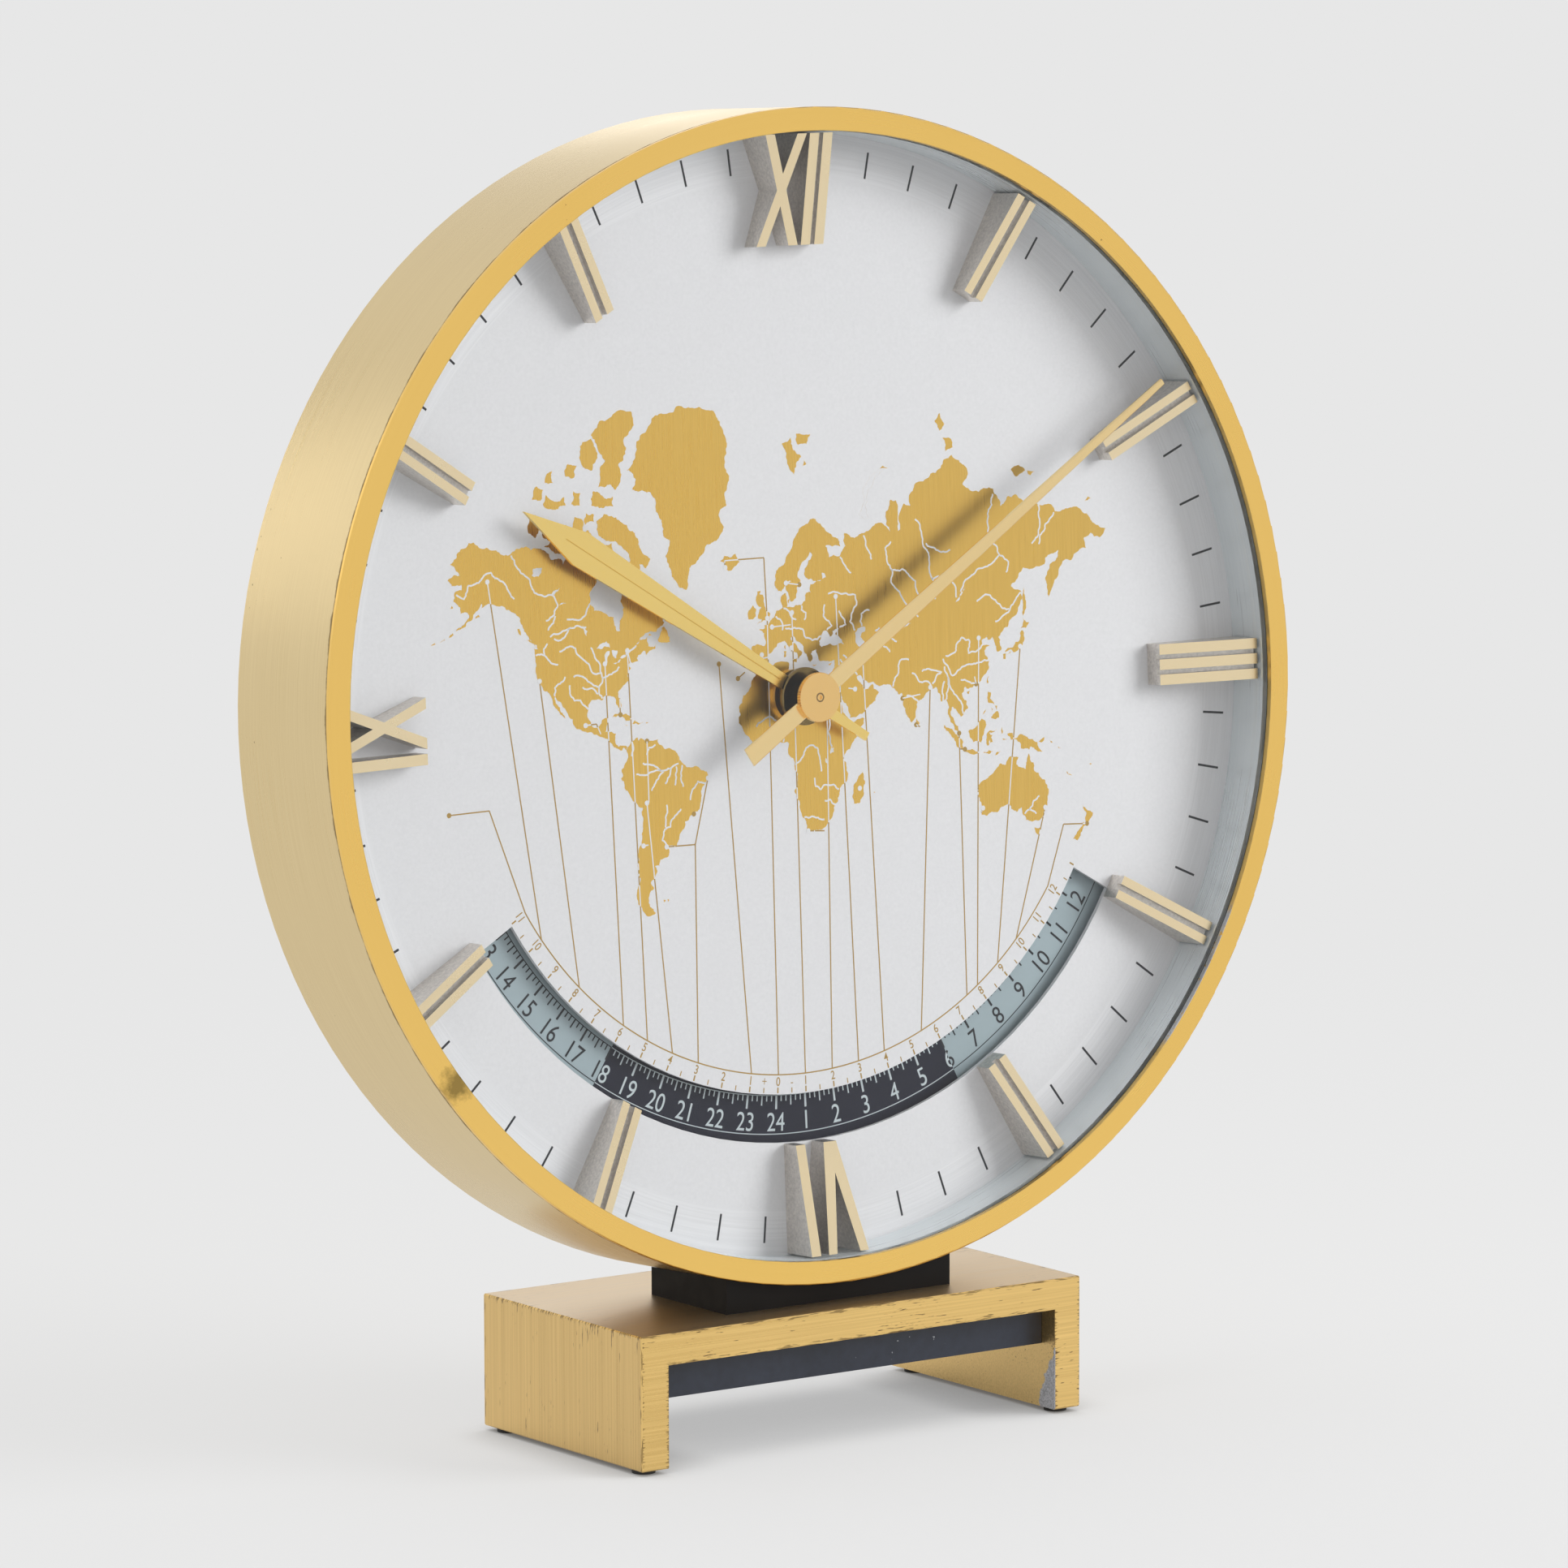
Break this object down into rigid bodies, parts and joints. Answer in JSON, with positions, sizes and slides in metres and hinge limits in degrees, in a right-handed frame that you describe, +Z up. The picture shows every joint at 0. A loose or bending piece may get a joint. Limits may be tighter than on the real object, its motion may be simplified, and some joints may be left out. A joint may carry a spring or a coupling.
{
  "type": "world time table clock",
  "caption": "Round table clock on a bridge stand, with a world map dial, a turning ring of world hours behind a curved window, and hour and minute hands geared together.",
  "frame": {"origin": "on the table, under the middle of the stand's footprint", "axes": "+X to the clock's right as seen from the front, +Y to the back, +Z up; the head leans back 3 degrees"},
  "size_m": [0.25, 0.06, 0.2837],
  "materials": {
    "stand_brass": "brushed",
    "case_brass": "brushed",
    "bezel_gold": "satin",
    "black_iron": "painted matt black",
    "black_paint": "painted matt black",
    "black_rubber": "matt",
    "steel": "machined",
    "clear_glass": "clear",
    "wall_aluminium": "brushed",
    "dial_silver": "satin, printed",
    "plate_aluminium": "mill finish",
    "cover_brass_tone": "anodised, brushed",
    "inner_plastic": "moulded",
    "marker_gold": "diamond-cut faces",
    "hand_gold": "polished",
    "ring_print": "satin, printed",
    "gear_brass": "machined",
    "housing_plastic": "moulded",
    "board_resin": "solder mask",
    "chip_resin": "moulded",
    "coil_wire": "enamelled winding",
    "battery_can": "printed sleeve"
  },
  "bodies": {
    "case": {"base_bridge": "stand_brass", "ballast_bar": "black_iron", "feet": "black_rubber", "pedestal_block": "black_paint", "stand_screws": "steel", "case_band": "case_brass", "bezel": "bezel_gold", "glass": "clear_glass", "glass_seal": "black_rubber", "inner_wall_ring": "wall_aluminium", "dial_plate": "dial_silver", "mounting_ring": "inner_plastic", "carrier_plate": "plate_aluminium", "carrier_screws": "steel", "back_cover": "cover_brass_tone", "cover_screws": "steel", "marker_twelve": "marker_gold", "marker_three": "marker_gold", "marker_six": "marker_gold", "marker_nine": "marker_gold", "hour_bars": "marker_gold", "dial_bushing": "gear_brass", "bushing_clip": "steel", "train_posts": "steel", "movement_plate": "gear_brass", "plate_pillars": "gear_brass", "plate_screws": "steel", "circuit_board": "board_resin", "clock_chip": "chip_resin", "quartz_crystal": "steel", "motor_coil": "coil_wire", "motor_bobbin": "steel", "motor_stators": "steel", "movement_housing": "housing_plastic", "housing_screws": "steel", "battery": "battery_can", "battery_contacts": "steel"},
    "minute_hand_set": {"minute_hand": "hand_gold", "hand_nut": "hand_gold", "minute_arbor": "steel", "cannon_pinion": "gear_brass", "centre_wheel": "gear_brass"},
    "hour_hand_set": {"hour_hand": "hand_gold", "hour_wheel": "gear_brass"},
    "minute_wheel_set": {"minute_wheel": "gear_brass"},
    "world_idler_set": {"world_idler": "gear_brass"},
    "world_time_disc": {"world_time_ring": "ring_print", "ring_hub_gear": "gear_brass"},
    "setting_set": {"setting_arbor": "steel", "setting_knob": "housing_plastic"},
    "third_wheel_set": {"third_wheel": "gear_brass"},
    "battery_door": {"battery_cover": "housing_plastic"}
  },
  "joints": [
    {"name": "minute_hand_turn", "type": "hinge", "parent": "case", "child": "minute_hand_set", "pos_m": [0, -0.0036, 0.15817], "axis": [0, 0.9986, -0.0523], "continuous": true},
    {"name": "hour_hand_turn", "type": "hinge", "parent": "case", "child": "hour_hand_set", "pos_m": [0, -0.0036, 0.15817], "axis": [0, 0.9986, -0.0523], "continuous": true},
    {"name": "minute_wheel_turn", "type": "hinge", "parent": "case", "child": "minute_wheel_set", "pos_m": [-0.015, -0.0036, 0.15817], "axis": [0, 0.9986, -0.0523], "continuous": true},
    {"name": "world_idler_turn", "type": "hinge", "parent": "case", "child": "world_idler_set", "pos_m": [0.015, -0.0036, 0.15817], "axis": [0, 0.9986, -0.0523], "continuous": true},
    {"name": "world_time_turn", "type": "hinge", "parent": "case", "child": "world_time_disc", "pos_m": [0, -0.0036, 0.15817], "axis": [0, 0.9986, -0.0523], "continuous": true},
    {"name": "setting_knob_turn", "type": "hinge", "parent": "case", "child": "setting_set", "pos_m": [-0.015, -0.00439, 0.1432], "axis": [0, 0.9986, -0.0523], "continuous": true},
    {"name": "third_wheel_turn", "type": "hinge", "parent": "case", "child": "third_wheel_set", "pos_m": [0.01353, -0.00386, 0.15326], "axis": [0, 0.9986, -0.0523], "continuous": true},
    {"name": "battery_cover_slide", "type": "slide", "parent": "case", "child": "battery_door", "axis": [1, 0, 0], "range_m": [0, 0.045]}
  ],
  "couplings": [
    {"joint": "hour_hand_turn", "follows": "minute_hand_turn", "ratio": 0.083333},
    {"joint": "minute_wheel_turn", "follows": "minute_hand_turn", "ratio": -0.33333},
    {"joint": "world_idler_turn", "follows": "minute_hand_turn", "ratio": -0.041667},
    {"joint": "world_time_turn", "follows": "minute_hand_turn", "ratio": 0.013889},
    {"joint": "setting_knob_turn", "follows": "minute_hand_turn", "ratio": 1},
    {"joint": "third_wheel_turn", "follows": "minute_hand_turn", "ratio": -5}
  ]
}
